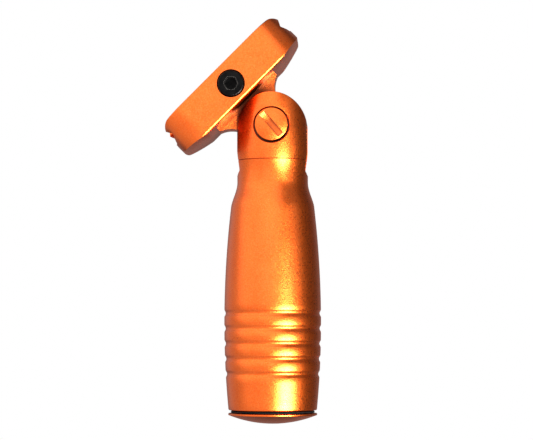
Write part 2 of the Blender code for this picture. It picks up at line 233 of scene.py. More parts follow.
# How threads are drawn.
THREAD_TIP = 0.2  # radius of the small face that closes each end
THREAD_FLANK = 2.6  # how steeply a flank rises, in thread depths for each pitch
THREAD_ROOT = 0.15  # taken off that rise, so that the root is flat
THREAD_RUN_OUT = 0.6  # how far the ends are sunk, as a part of the depth

# The studio, in metres: its reach from the object's middle, its heights from the world's origin.
SHELL_REACH = 2.4
SHELL_FLOOR = -0.95
SHELL_ROOF = 1.4
SHELL_COVE = 0.6


# ---------------------------------------------------------------- mesh helpers

def turned(profile, steps, along_y=False):
    """A closed solid of revolution about Z, or about Y, from a closed profile of (radius, height)."""
    shape = bmesh.new()
    points = [shape.verts.new((radius, 0.0, height)) for radius, height in profile]
    edges = [shape.edges.new(pair) for pair in zip(points, points[1:] + points[:1])]
    bmesh.ops.spin(shape, geom=points + edges, axis=(0, 0, 1), angle=math.tau, steps=steps, use_merge=True)
    bmesh.ops.remove_doubles(shape, verts=shape.verts, dist=MERGE)
    bmesh.ops.dissolve_degenerate(shape, dist=MERGE, edges=shape.edges)
    on_axis = [edge for edge in shape.edges if not edge.link_faces]
    bmesh.ops.delete(shape, geom=on_axis, context="EDGES")
    if along_y:
        bmesh.ops.rotate(shape, matrix=Matrix.Rotation(math.radians(-90.0), 3, "X"), verts=shape.verts)
    bmesh.ops.recalc_face_normals(shape, faces=shape.faces)
    return shape


def loft(loops):
    """A closed solid through loops of the same number of points, with flat ends."""
    shape = bmesh.new()
    rings = [[shape.verts.new(point) for point in loop] for loop in loops]
    for low, high in zip(rings, rings[1:]):
        for i in range(len(low)):
            j = (i + 1) % len(low)
            shape.faces.new((low[i], low[j], high[j], high[i]))
    shape.faces.new(rings[0])
    shape.faces.new(rings[-1])
    bmesh.ops.recalc_face_normals(shape, faces=shape.faces)
    return shape


def prism(outline, low, high, plane="XZ"):
    """A flat outline pushed from low to high along the axis that its plane leaves out."""
    places = {
        "XZ": lambda a, b, c: (a, c, b),
        "YZ": lambda a, b, c: (c, a, b),
        "XY": lambda a, b, c: (a, b, c),
    }
    return loft([[places[plane](a, b, c) for a, b in outline] for c in (low, high)])


def arc(centre, radius, start, end, steps):
    """Points on a circle from one angle to another, in degrees, both ends included."""
    angles = [math.radians(start + (end - start) * i / steps) for i in range(steps + 1)]
    return [(centre[0] + radius * math.cos(a), centre[1] + radius * math.sin(a)) for a in angles]


def circle(radius, steps):
    return arc((0.0, 0.0), radius, 0.0, 360.0 * (steps - 1) / steps, steps - 1)


def hexagon(flats, turn=0.0):
    return [
        (flats / math.sqrt(3.0) * math.cos(turn + a), flats / math.sqrt(3.0) * math.sin(turn + a))
        for a in (math.tau * i / 6 for i in range(6))
    ]


def raised(shape, height):
    bmesh.ops.translate(shape, vec=(0.0, 0.0, height), verts=shape.verts)
    return shape


def combined(shape, other, how="DIFFERENCE"):
    """One solid cut by, joined to or crossed with another. Both inputs are used up."""
    holders = []
    for part in (shape, other):
        mesh = bpy.data.meshes.new("working")
        part.to_mesh(mesh)
        part.free()
        holders.append(bpy.data.objects.new("working", mesh))
        bpy.context.collection.objects.link(holders[-1])
    step = holders[0].modifiers.new("Step", "BOOLEAN")
    step.operation = how
    step.solver = "EXACT"
    step.object = holders[1]
    graph = bpy.context.evaluated_depsgraph_get()
    result = bmesh.new()
    result.from_mesh(holders[0].evaluated_get(graph).to_mesh())
    for holder in holders:
        mesh = holder.data
        bpy.data.objects.remove(holder)
        bpy.data.meshes.remove(mesh)
    bmesh.ops.remove_doubles(result, verts=result.verts, dist=MERGE)
    return result


def bevel_sharp(shape, width, segments=2, angle=35.0, where=lambda edge: True, clamp=True):
    """Rounds the edges that turn by more than an angle and pass a test."""
    limit = math.radians(angle)
    sharp = [
        edge for edge in shape.edges
        if len(edge.link_faces) == 2 and edge.calc_face_angle(0.0) > limit and where(edge)
    ]
    bmesh.ops.bevel(shape, geom=sharp, offset=width, offset_type="OFFSET", segments=segments,
                    profile=0.5, affect="EDGES", clamp_overlap=clamp, loop_slide=True, material=-1)


def surface_mouth(outline, surface, chamfer, floor, outward=-1.0):
    """Loops for a cutter whose mouth has a fine chamfer that follows a curved surface.

    outline(grow) gives (x, z) points, surface(x, z) the surface's y, and outward the side it faces.
    """
    wide = outline(chamfer + MOUTH_REACH)
    narrow = outline(0.0)
    return [
        [(x, outward * (KNUCKLE_RADIUS + CUTTER_REACH), z) for x, z in wide],
        [(x, surface(x, z) + outward * MOUTH_REACH, z) for x, z in wide],
        [(x, surface(x, z) - outward * chamfer, z) for x, z in narrow],
        [(x, floor, z) for x, z in narrow],
    ]


def thread(radius, depth, pitch, low, high, steps=48, rows=8):
    """A screw thread on a rod along Z, from low to high, with plain flat ends and faded run-outs."""
    count = max(2, round((high - low) / pitch * rows))
    turns = [math.tau * i / steps for i in range(steps)]

    def end(z):
        return [(THREAD_TIP * math.cos(turn), THREAD_TIP * math.sin(turn), z) for turn in turns]

    loops = [end(low)]
    for row in range(count + 1):
        z = low + (high - low) * row / count
        fade = min(1.0, (z - low) / pitch, (high - z) / pitch)
        loop = []
        for i, turn in enumerate(turns):
            phase = (z / pitch - i / steps) % 1.0
            flank = min(1.0, max(0.0, abs(phase - 0.5) * THREAD_FLANK - THREAD_ROOT))
            r = radius - depth * (1.0 - flank) * fade - depth * THREAD_RUN_OUT * (1.0 - fade)
            loop.append((r * math.cos(turn), r * math.sin(turn), z))
        loops.append(loop)
    loops.append(end(high))
    return loft(loops)


def piece(name, shape, place, finish, body, node):
    """Puts a shape in millimetres at its place as a piece that stands for a CAD node."""
    bmesh.ops.recalc_face_normals(shape, faces=shape.faces)
    mesh = bpy.data.meshes.new(name)
    bmesh.ops.scale(shape, vec=(MM, MM, MM), verts=shape.verts)
    shape.to_mesh(mesh)
    shape.free()
    mesh.transform(place)
    mesh.materials.append(finish)
    mesh.shade_smooth()
    mesh.set_sharp_from_angle(angle=SMOOTH_ANGLE)
    thing = bpy.data.objects.new(name, mesh)
    bpy.context.scene.collection.objects.link(thing)
    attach(thing, body)
    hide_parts(node)
    return thing


# ---------------------------------------------------------------- shapes

def head_plan(inset):
    length = HEAD_HALF_LENGTH - HEAD_CORNER
    width = HEAD_HALF_WIDTH - HEAD_CORNER
    corners = ((length, width, 0), (-length, width, 90), (-length, -width, 180), (length, -width, 270))
    return [p for x, y, a in corners for p in arc((x, y), HEAD_CORNER - inset, a, a + 90, 16)]


def head_side():
    """The head's outline seen from the side: round corners, and an underside that rises to both ends."""
    top = arc((HEAD_HALF_LENGTH - LIP_END_ROUND, LIP_TOP - LIP_END_ROUND), LIP_END_ROUND, 90.0, 0.0, 8)
    middle = HEAD_HALF_LENGTH - BASE_END_ROUND
    slope = math.atan(RELIEF_SLOPE)
    rise = HEAD_BOTTOM + (middle - RELIEF_START) * RELIEF_SLOPE + BASE_END_ROUND / math.cos(slope)
    low = arc((middle, rise), BASE_END_ROUND, 0.0, math.degrees(slope) - 90.0, 7)
    right = [*top, *low, (RELIEF_START, HEAD_BOTTOM)]
    return right + [(-x, z) for x, z in reversed(right)]


def clamp_head():
    steps = 5
    layers = []
    for i in range(steps + 1):
        a = math.radians(90.0 * i / steps)
        layers.append((BOTTOM_ROUND * (1.0 - math.sin(a)), HEAD_BOTTOM + BOTTOM_ROUND * (1.0 - math.cos(a))))
    for i in range(4):
        a = math.radians(30.0 * i)
        layers.append((LIP_ROUND * (1.0 - math.cos(a)), LIP_TOP - LIP_ROUND * (1.0 - math.sin(a))))
    shape = loft([[(x, y, z) for x, y in head_plan(inset)] for inset, z in layers])

    reach = HEAD_HALF_LENGTH + PAST
    across = HEAD_HALF_WIDTH + PAST
    shape = combined(shape, prism(head_side(), -across, across), "INTERSECT")

    pivot = -PIVOT_DROP
    flare = (HUB_RADIUS + FLARE_RADIUS, pivot + FLARE_RISE)
    tip = math.degrees(math.acos((FLARE_TIP - flare[0]) / FLARE_RADIUS))
    right = arc(flare, FLARE_RADIUS, tip, 180.0, 20)
    left = [(-x, z) for x, z in reversed(right)]
    hub = arc((0.0, pivot), HUB_RADIUS, 0.0, -180.0, 40)
    inside = HEAD_BOTTOM + PAST
    tongue = [(FLARE_TIP, inside), *right, *hub[1:-1], *left, (-FLARE_TIP, inside)]
    shape = combined(shape, prism(tongue, -TONGUE_HALF, TONGUE_HALF), "UNION")

    flank = WIDE_HALF - FLOOR_HALF
    band = flank + WIDE_BAND
    lip = band + WIDE_HALF - MOUTH_HALF
    half = [(FLOOR_HALF, 0.0), (WIDE_HALF, flank), (WIDE_HALF, band), (MOUTH_HALF, lip),
            (MOUTH_HALF, LIP_TOP + PAST)]
    channel = half + [(-y, z) for y, z in reversed(half)]
    shape = combined(shape, prism(channel, -reach, reach, "YZ"))
    bmesh.ops.dissolve_limit(shape, angle_limit=math.radians(0.3), verts=shape.verts, edges=shape.edges)
    bevel_sharp(shape, HEAD_EDGE, where=lambda edge: edge.calc_length() > SHORTEST_BEVELLED)

    mouth = CROSS_POCKET_RADIUS + CROSS_POCKET_CHAMFER + PAST
    screw_way = [
        (0.0, -across),
        (mouth, -across),
        (CROSS_POCKET_RADIUS, -HEAD_HALF_WIDTH + CROSS_POCKET_CHAMFER),
        (CROSS_POCKET_RADIUS, -CROSS_SEAT),
        (CROSS_HOLE, -CROSS_SEAT),
        (CROSS_HOLE, across),
        (0.0, across),
    ]
    shape = combined(shape, raised(turned(screw_way, 64, along_y=True), CROSS_HEIGHT))
    pocket = [(x, z + CROSS_HEIGHT) for x, z in hexagon(NUT_POCKET_FLATS)]
    shape = combined(shape, prism(pocket, CROSS_SEAT, across))
    side = TONGUE_HALF + PAST
    hub_bore = [
        (0.0, -side),
        (RECESS_RADIUS, -side),
        (RECESS_RADIUS, -RECESS_FLOOR),
        (BUSH_HOLE, -RECESS_FLOOR),
        (BUSH_HOLE, RECESS_FLOOR),
        (RECESS_RADIUS, RECESS_FLOOR),
        (RECESS_RADIUS, side),
        (0.0, side),
    ]
    return combined(shape, raised(turned(hub_bore, 64, along_y=True), pivot))


def cross_screw():
    face = CROSS_HEAD_FACE
    bevel = CROSS_HEAD_BEVEL
    edge = [(CROSS_HEAD_RADIUS - bevel * (1.0 - math.sin(a)), face + bevel * (1.0 - math.cos(a)))
            for a in (math.radians(22.5 * i) for i in range(5))]
    tuck = CROSS_THREAD_START + SHANK_TUCK
    profile = [
        (0.0, tuck),
        (M5_RADIUS, tuck),
        (M5_RADIUS, CROSS_HEAD_BACK + CROSS_FILLET),
        (M5_RADIUS + CROSS_FILLET, CROSS_HEAD_BACK),
        (CROSS_HEAD_RADIUS - CROSS_BACK_BEVEL, CROSS_HEAD_BACK),
        (CROSS_HEAD_RADIUS, CROSS_HEAD_BACK - CROSS_BACK_BEVEL),
        *reversed(edge),
        (0.0, face),
    ]
    shape = turned(profile, 96, along_y=True)
    lead = [
        (0.0, face - PAST),
        (CROSS_KEY / 2 + CROSS_KEY_LEAD + PAST, face - PAST),
        (CROSS_KEY / 2, face + CROSS_KEY_LEAD),
        (0.0, face + CROSS_KEY_LEAD),
    ]
    shape = combined(shape, turned(lead, 48, along_y=True))
    floor = face + CROSS_KEY_DEPTH
    shape = combined(shape, prism(hexagon(CROSS_KEY, CROSS_KEY_TURN), face - PAST, floor))
    bore = CROSS_KEY / 2 - CROSS_DRILL_INSET
    drill = [(0.0, floor - PAST / 2), (bore, floor - PAST / 2), (bore, floor), (0.0, floor + CROSS_DRILL_POINT)]
    shape = combined(shape, turned(drill, 32, along_y=True))
    coil = thread(M5_RADIUS, M5_THREAD, M5_PITCH, CROSS_THREAD_START, SCREW_END)
    bmesh.ops.rotate(coil, matrix=Matrix.Rotation(math.radians(-90.0), 3, "X"), verts=coil.verts)
    return combined(shape, coil, "UNION")


def hexagon_nut():
    """A thin nut whose corners are turned off on both sides."""
    back = NUT_BACK
    face = NUT_BACK + NUT_HEIGHT
    shape = prism(hexagon(NUT_FLATS), back, face)
    reach = NUT_FLATS / math.sqrt(3.0)
    flat = reach - NUT_CORNER * NUT_CORNER_SPREAD
    crowned = [
        (0.0, back),
        (flat, back),
        (reach, back + NUT_CORNER),
        (reach, face - NUT_CORNER),
        (flat, face),
        (0.0, face),
    ]
    shape = combined(shape, turned(crowned, 72, along_y=True), "INTERSECT")
    hole = M5_RADIUS + NUT_CLEARANCE
    bore = [
        (0.0, back - PAST),
        (hole + NUT_LEAD + PAST, back - PAST),
        (hole, back + NUT_LEAD),
        (hole, face - NUT_LEAD),
        (hole + NUT_LEAD + PAST, face + PAST),
        (0.0, face + PAST),
    ]
    return combined(shape, turned(bore, 48, along_y=True))


def crown(x, z):
    """The pivot screw's face: it stands furthest out in the middle."""
    return PIVOT_FACE - PIVOT_CROWN * (1.0 - (x * x + z * z) / (PIVOT_HEAD_RADIUS - PIVOT_BEVEL) ** 2)


def coin_outline(grow):
    length = COIN_HALF_LENGTH + grow
    width = COIN_HALF_WIDTH + grow
    steps = 12
    over = [(length - 2.0 * length * i / steps, width) for i in range(steps + 1)]
    points = over + [(-x, -z) for x, z in over]
    c, s = math.cos(COIN_TURN), math.sin(COIN_TURN)
    return [(x * c + z * s, -x * s + z * c) for x, z in points]


def pivot_screw():
    reach = PIVOT_HEAD_RADIUS - PIVOT_BEVEL
    edge = [(reach + PIVOT_BEVEL * math.sin(a), PIVOT_FACE + PIVOT_BEVEL * (1.0 - math.cos(a)))
            for a in (math.radians(90.0 - 22.5 * i) for i in range(5))]
    dome = [(reach * (1.0 - i / 8.0), crown(reach * (1.0 - i / 8.0), 0.0)) for i in range(1, 9)]
    profile = [
        (0.0, PIVOT_SHANK_END),
        (PIVOT_SHANK - PIVOT_TIP_BEVEL, PIVOT_SHANK_END),
        (PIVOT_SHANK, PIVOT_SHANK_END - PIVOT_TIP_BEVEL),
        (PIVOT_SHANK, PIVOT_HEAD_BACK),
        (PIVOT_HEAD_RADIUS - PIVOT_BACK_BEVEL, PIVOT_HEAD_BACK),
        (PIVOT_HEAD_RADIUS, PIVOT_HEAD_BACK - PIVOT_BACK_BEVEL),
        *edge,
        *dome,
    ]
    shape = turned(profile, 120, along_y=True)
    sagitta = COIN_DEPTH - COIN_END_DEPTH
    radius = (COIN_HALF_LENGTH ** 2 + sagitta ** 2) / (2.0 * sagitta)
    bottom = PIVOT_FACE - PIVOT_CROWN + COIN_DEPTH
    spread = math.degrees(math.asin(COIN_HALF_LENGTH / radius))
    floor = arc((0.0, bottom - radius), radius, 90.0 - spread, 90.0 + spread, 24)
    top = PIVOT_FACE - PIVOT_CROWN - PAST
    side = [*floor, (-COIN_HALF_LENGTH, top), (COIN_HALF_LENGTH, top)]
    slot = prism(side, -COIN_HALF_WIDTH, COIN_HALF_WIDTH, "XY")
    bmesh.ops.rotate(slot, matrix=Matrix.Rotation(COIN_TURN, 3, "Y"), verts=slot.verts)
    shape = combined(shape, slot)
    chamfer = surface_mouth(coin_outline, crown, COIN_CHAMFER, PIVOT_FACE)
    return combined(shape, loft(chamfer[:3]))  # without the straight walls below the chamfer


def pivot_nut():
    reach = PIVOT_HEAD_RADIUS - PIVOT_BEVEL
    dome = [(reach * i / 8.0, NUT_FACE - PIVOT_CROWN * (i / 8.0) ** 2) for i in range(9)]
    edge = [(reach + PIVOT_BEVEL * math.sin(a), NUT_FACE - PIVOT_CROWN - PIVOT_BEVEL * (1.0 - math.cos(a)))
            for a in (math.radians(22.5 * i) for i in range(1, 5))]
    profile = [
        (NUT_THREAD + NUT_THREAD_LEAD, NUT_BARREL_START),
        (NUT_THREAD, NUT_BARREL_START + NUT_THREAD_LEAD),
        (NUT_THREAD, NUT_THREAD_END),
        (0.0, NUT_THREAD_END),
        *dome,
        *edge,
        (PIVOT_HEAD_RADIUS, NUT_FLANGE),
        (NUT_BARREL, NUT_FLANGE),
        (NUT_BARREL, NUT_BARREL_START),
    ]
    return turned(profile, 96, along_y=True)


def belly_radius(z):
    bend = BELLY_ARC_UP if z > WAIST[1] else BELLY_ARC_DOWN
    return WAIST[0] - (z - WAIST[1]) ** 2 / (2.0 * bend)


def grip_outside():
    """The grip's outline from the top of the knuckle to its lower edge."""
    points = [(0.0, KNUCKLE_RADIUS), (KNUCKLE_RADIUS, KNUCKLE_RADIUS), (KNUCKLE_RADIUS, KNUCKLE_CREASE),
              (KNUCKLE_END_RADIUS, KNUCKLE_END + SCORE), (KNUCKLE_END_RADIUS - SCORE_DEPTH, KNUCKLE_END)]
    drop = KNUCKLE_END - NECK_START
    step = KNUCKLE_END_RADIUS - NECK_RADIUS
    bend = (drop ** 2 + step ** 2) / (2.0 * step)
    for i in range(1, 13):
        z = KNUCKLE_END - SCORE - (drop - SCORE) * (i - 1) / 11
        points.append((NECK_RADIUS + bend - math.sqrt(bend ** 2 - (z - NECK_START) ** 2), z))
    radius, end = SHOULDER
    drop = NECK_END - end
    slope = SHOULDER_CREASE * (WAIST[1] - end) / -BELLY_ARC_UP * drop
    for i in range(17):
        t = i / 16.0
        out = (3.0 * t ** 2 - 2.0 * t ** 3) * (radius - NECK_RADIUS) + (t ** 3 - t ** 2) * slope
        points.append((NECK_RADIUS + out, NECK_END - drop * t))
    top = GROOVE_FIRST + GROOVE_HALF
    points += [(belly_radius(z), z) for z in (end + (top - end) * i / 20 for i in range(1, 20))]
    for i in range(GROOVE_COUNT):
        middle = GROOVE_FIRST + GROOVE_PITCH * i
        for k in range(13):
            place = 1.0 - k / 6.0
            depth = (0.5 + 0.5 * math.cos(math.pi * place)) ** GROOVE_FULLNESS
            z = middle + place * GROOVE_HALF
            points.append((belly_radius(z) - depth * GROOVE_DEPTH, z))
    last = GROOVE_FIRST + GROOVE_PITCH * (GROOVE_COUNT - 1) - GROOVE_HALF
    low = GRIP_END + RIM_BEVEL
    points += [(belly_radius(z), z) for z in (last + (low - last) * i / 6 for i in range(1, 7))]
    rim = belly_radius(GRIP_END) - RIM_BEVEL
    points += [(rim + RIM_BEVEL * math.cos(a), low - RIM_BEVEL * math.sin(a))
               for a in (math.radians(30.0 * i) for i in range(1, 4))]
    return points


def grip_body():
    store = [
        (STORE_RADIUS + STORE_BEVEL, GRIP_END),
        (STORE_RADIUS, GRIP_END + STORE_BEVEL),
        (STORE_RADIUS, STORE_SHOULDER),
        (STORE_TOP_RADIUS, STORE_TOP),
        (0.0, STORE_TOP),
    ]
    shape = turned(grip_outside() + store, GRIP_STEPS)
    side = KNUCKLE_RADIUS + PAST
    round_top = math.sqrt(KNUCKLE_RADIUS ** 2 - SLOT_HALF ** 2)
    columns = [KNUCKLE_RADIUS * math.cos(math.tau * i / GRIP_STEPS) for i in range(GRIP_STEPS // 2 + 1)]
    over = [(x, EAR_CENTRE + math.sqrt(round_top ** 2 - x ** 2)) for x in columns if abs(x) < round_top]
    corners = [(round_top, EAR_CENTRE), *over, (-round_top, EAR_CENTRE), (-side, EAR_CENTRE), (-side, side),
               (side, side), (side, EAR_CENTRE)]
    shape = combined(shape, prism(corners, -side, side))
    low = SLOT_FLOOR - SLOT_FLOOR_RADIUS
    floor = arc((0.0, low), SLOT_FLOOR_RADIUS, 168.0, 12.0, 40)
    slot = [(-side, floor[0][1]), *floor, (side, floor[-1][1]), (side, side), (-side, side)]
    shape = combined(shape, prism(slot, -SLOT_HALF, SLOT_HALF))

    def on_ear_top(edge):
        lowest = min(vert.co.z for vert in edge.verts)
        furthest = max(math.hypot(vert.co.x, vert.co.z - EAR_CENTRE) for vert in edge.verts)
        return lowest > EAR_FOOT and furthest > round_top - EAR_MARGIN

    bevel_sharp(shape, EAR_EDGE, angle=40.0, clamp=False, where=on_ear_top)

    def knuckle_front(x, z):
        return -math.sqrt(KNUCKLE_RADIUS ** 2 - x * x)

    def knuckle_rear(x, z):
        return math.sqrt(KNUCKLE_RADIUS ** 2 - x * x)

    def hole(grow):
        return [(x, z - PIVOT_POCKET_SAG) for x, z in circle(PIVOT_POCKET_RADIUS + grow, 72)]

    def flat(radius, y):
        return [(x, y, z) for x, z in circle(radius, 72)]

    front = surface_mouth(hole, knuckle_front, PIVOT_POCKET_CHAMFER, -PIVOT_POCKET_FLOOR)
    back = surface_mouth(hole, knuckle_rear, PIVOT_POCKET_CHAMFER, PIVOT_POCKET_FLOOR, 1.0)
    middle = [flat(PIVOT_HOLE, -PIVOT_POCKET_FLOOR), flat(PIVOT_HOLE, 0.0), flat(BARREL_HOLE, 0.0),
              flat(BARREL_HOLE, PIVOT_POCKET_FLOOR)]
    return combined(shape, loft(front + middle + back[::-1]))


def end_cap():
    reach = CAP_RADIUS - CAP_EDGE
    rings = [reach * (1.0 - i / 24.0) for i in range(25)]
    drop = CAP_DOME - math.sqrt(CAP_DOME ** 2 - reach ** 2)
    rim = CAP_BOTTOM + drop + CAP_EDGE
    edge = [(reach + CAP_EDGE * math.cos(a), rim - CAP_EDGE * math.sin(a))
            for a in (math.radians(20.0 * i) for i in range(5))]
    dome = [(r, CAP_BOTTOM + CAP_DOME - math.sqrt(CAP_DOME ** 2 - r ** 2)) for r in rings]
    root = SPIGOT_RADIUS - SPIGOT_THREAD
    profile = [
        (0.0, SPIGOT_TOP),
        (root - SPIGOT_BEVEL, SPIGOT_TOP),
        (root, SPIGOT_TOP - SPIGOT_BEVEL),
        (root, CAP_TOP),
        (CAP_RADIUS - CAP_TOP_BEVEL, CAP_TOP),
        (CAP_RADIUS, CAP_TOP - CAP_TOP_BEVEL),
        *edge,
        *dome,
    ]
    shape = turned(profile, GRIP_STEPS)
    low = SPIGOT_TOP - SPIGOT_THREAD_START
    high = SPIGOT_TOP - SPIGOT_THREAD_END
    coil = thread(SPIGOT_RADIUS, SPIGOT_THREAD, SPIGOT_PITCH, low, high, 120)
    shape = combined(shape, coil, "UNION")
    pocket = [
        (0.0, CAP_POCKET_FLOOR),
        (CAP_POCKET_RADIUS, CAP_POCKET_FLOOR),
        (CAP_POCKET_RADIUS, SPIGOT_TOP - SPIGOT_BEVEL),
        (CAP_POCKET_RADIUS + SPIGOT_BEVEL + PAST, SPIGOT_TOP + PAST),
        (0.0, SPIGOT_TOP + PAST),
    ]
    return combined(shape, turned(pocket, 96))


def o_ring():
    middle = (SEAL_INNER + SEAL_OUTER) / 2.0
    wide = (SEAL_OUTER - SEAL_INNER) / 2.0
    centre = (SEAL_TOP + SEAL_BOTTOM) / 2.0
    high = (SEAL_TOP - SEAL_BOTTOM) / 2.0
    profile = [(middle + wide * math.cos(a), centre + high * math.sin(a))
               for a in (math.tau * i / 20 for i in range(20))]
    return turned(profile, GRIP_STEPS)


# ---------------------------------------------------------------- materials

class Finish:
    """A node material with short ways to add its nodes. Positions are the object's own, in metres."""

    def __init__(self, name):
        self.material = bpy.data.materials.new(name)
        self.material.use_nodes = True
        self.nodes = self.material.node_tree.nodes
        self.links = self.material.node_tree.links
        self.shader = self.nodes["Principled BSDF"]
        self.place = self.nodes.new("ShaderNodeTexCoord").outputs["Object"]

    def set(self, **values):
        for name, value in values.items():
            self.shader.inputs[name.replace("_", " ")].default_value = value

    def link(self, output, name):
        self.links.new(output, self.shader.inputs[name])

    def noise(self, scale, detail=2.0, roughness=0.5, stretch=None):
        node = self.nodes.new("ShaderNodeTexNoise")
        node.inputs["Scale"].default_value = scale
        node.inputs["Detail"].default_value = detail
        node.inputs["Roughness"].default_value = roughness
        source = self.place
        if stretch:
            mapping = self.nodes.new("ShaderNodeMapping")
            mapping.inputs["Scale"].default_value = stretch
            self.links.new(self.place, mapping.inputs["Vector"])
            source = mapping.outputs["Vector"]
        self.links.new(source, node.inputs["Vector"])
        return node.outputs["Fac"]

    def spread(self, value, low, high, start=0.3, end=0.7):
        node = self.nodes.new("ShaderNodeMapRange")
        for name, number in (("From Min", start), ("From Max", end), ("To Min", low), ("To Max", high)):
            node.inputs[name].default_value = number
        self.links.new(value, node.inputs["Value"])
        return node.outputs["Result"]

    def ramp(self, value, stops):
        node = self.nodes.new("ShaderNodeValToRGB")
        ramp = node.color_ramp
        while len(ramp.elements) < len(stops):
            ramp.elements.new(0.5)
        for element, (place, colour) in zip(ramp.elements, stops):
            element.position = place
            element.color = (*colour, 1.0)
        self.links.new(value, node.inputs["Fac"])
        return node.outputs["Color"]

    def mix(self, factor, first, second):
        node = self.nodes.new("ShaderNodeMix")
        node.data_type = "RGBA"
        for name, value in (("Factor", factor), ("A", first), ("B", second)):
            socket = node.inputs[name]
            if isinstance(value, bpy.types.NodeSocket):
                self.links.new(value, socket)
            else:
                socket.default_value = value
        return node.outputs["Result"]

    def edges(self, radius):
        """1 on sharp outer and inner edges, 0 on open faces."""
        soft = self.nodes.new("ShaderNodeBevel")
        soft.inputs["Radius"].default_value = radius
        true = self.nodes.new("ShaderNodeNewGeometry")
        dot = self.nodes.new("ShaderNodeVectorMath")
        dot.operation = "DOT_PRODUCT"
        self.links.new(soft.outputs["Normal"], dot.inputs[0])
        self.links.new(true.outputs["Normal"], dot.inputs[1])
        return self.spread(dot.outputs["Value"], 1.0, 0.0, 0.86, 0.985)

    def recess_shade(self, depth, dark):
        """Painted shade: 1 on open faces, falling to dark in gaps and grooves about as narrow as depth."""
        node = self.nodes.new("ShaderNodeAmbientOcclusion")
        node.samples = 16
        node.inputs["Distance"].default_value = depth
        return self.spread(node.outputs["AO"], dark, 1.0, 0.22, 0.78)

    def bump(self, heights):
        """Bumps from (height, distance in metres, strength), one over the other."""
        normal = None
        for height, distance, strength in heights:
            node = self.nodes.new("ShaderNodeBump")
            node.inputs["Distance"].default_value = distance
            node.inputs["Strength"].default_value = strength
            self.links.new(height, node.inputs["Height"])
            if normal:
                self.links.new(normal, node.inputs["Normal"])
            normal = node.outputs["Normal"]
        self.link(normal, "Normal")


def orange_anodised():
    """Bead-blasted aluminium under a clear orange oxide: fine sparkle, satin sheen, paler worn edges."""
    look = Finish("orange_anodised_satin")
    look.set(Metallic=1.0, Coat_Weight=0.34, Coat_Roughness=0.25, Coat_IOR=1.5)
    grain = look.noise(2500.0, 2.0, 0.6)
    cloud = look.noise(130.0, 3.0)
    tint = look.ramp(cloud, ((0.3, (0.86, 0.118, 0.007)), (0.7, (0.92, 0.142, 0.012))))
    fleck = look.mix(look.spread(grain, 0.0, 0.45, 0.4, 0.7), tint, (1.0, 0.24, 0.045, 1.0))
    worn = look.mix(look.spread(look.noise(900.0), 0.25, 0.6), fleck, (1.0, 0.36, 0.11, 1.0))
    surface = look.mix(look.edges(0.00022), fleck, worn)
    # Painted shade: the base colour falls to near black in gaps, grooves and under overhangs, where less light
    # reaches.
    look.link(look.mix(look.recess_shade(0.009, 0.1), (0.012, 0.003, 0.001, 1.0), surface), "Base Color")
    look.link(look.spread(look.noise(1700.0, 3.0, 0.65), 0.25, 0.37), "Roughness")
    look.bump([(grain, 0.00006, 0.8), (look.noise(5200.0, 1.0), 0.00002, 0.7)])
    return look.material


def black_oxide():
    """Steel blackened all over: dark grey sheen, painted shade in the recesses, edges paler from rubbing wear and
    a painted highlight.
    """
    look = Finish("black_oxide_steel")
    look.set(Metallic=1.0)
    cloud = look.noise(600.0, 4.0, 0.6)
    base = look.ramp(cloud, ((0.3, (0.0045, 0.0045, 0.0048)), (0.7, (0.010, 0.0095, 0.0095))))
    # Paler edges: partly rubbing wear, partly a painted highlight on the hexagon socket's and the rim's edges.
    rubbed_and_highlit = look.mix(look.edges(0.0003), base, (0.17, 0.16, 0.15, 1.0))
    # Painted shade: the base colour falls to near black in the socket, gaps and grooves.
    look.link(look.mix(look.recess_shade(0.0035, 0.1), (0.001, 0.001, 0.001, 1.0), rubbed_and_highlit), "Base Color")
    look.link(look.spread(look.noise(1800.0, 3.0), 0.24, 0.38), "Roughness")
    look.bump([(look.noise(2600.0, 3.0), 0.00001, 0.4)])
    return look.material


def zinc_steel():
    look = Finish("zinc_plated_steel")
    look.set(Metallic=1.0)
    cloud = look.noise(500.0, 4.0, 0.6)
    base = look.ramp(cloud, ((0.25, (0.50, 0.50, 0.50)), (0.75, (0.66, 0.66, 0.65))))
    look.link(look.mix(look.edges(0.0002), base, (0.85, 0.85, 0.84, 1.0)), "Base Color")
    look.link(look.spread(look.noise(1500.0, 3.0), 0.22, 0.38), "Roughness")
    look.bump([(look.noise(2400.0, 2.0, 0.5, (1.0, 0.05, 1.0)), 0.00001, 0.35)])
    return look.material


def bearing_bronze():
    look = Finish("bearing_bronze")
    look.set(Metallic=1.0)
    cloud = look.noise(420.0, 4.0, 0.6)
    base = look.ramp(cloud, ((0.25, (0.42, 0.24, 0.09)), (0.75, (0.66, 0.42, 0.18))))
    look.link(look.mix(look.edges(0.0002), base, (0.85, 0.62, 0.33, 1.0)), "Base Color")
    look.link(look.spread(look.noise(1700.0, 3.0), 0.30, 0.50), "Roughness")
    look.bump([(look.noise(2600.0, 2.0, 0.5, (1.0, 0.04, 1.0)), 0.00001, 0.4)])
    return look.material


def natural_nylon():
    look = Finish("natural_nylon")
    look.set(Subsurface_Weight=0.15, Subsurface_Scale=0.0008)
    cloud = look.noise(300.0, 3.0)
    look.link(look.ramp(cloud, ((0.3, (0.66, 0.64, 0.57)), (0.7, (0.76, 0.74, 0.68)))), "Base Color")
    look.link(look.spread(look.noise(1400.0, 3.0), 0.42, 0.58), "Roughness")
    look.bump([(look.noise(1900.0, 3.0), 0.00001, 0.4)])
    return look.material


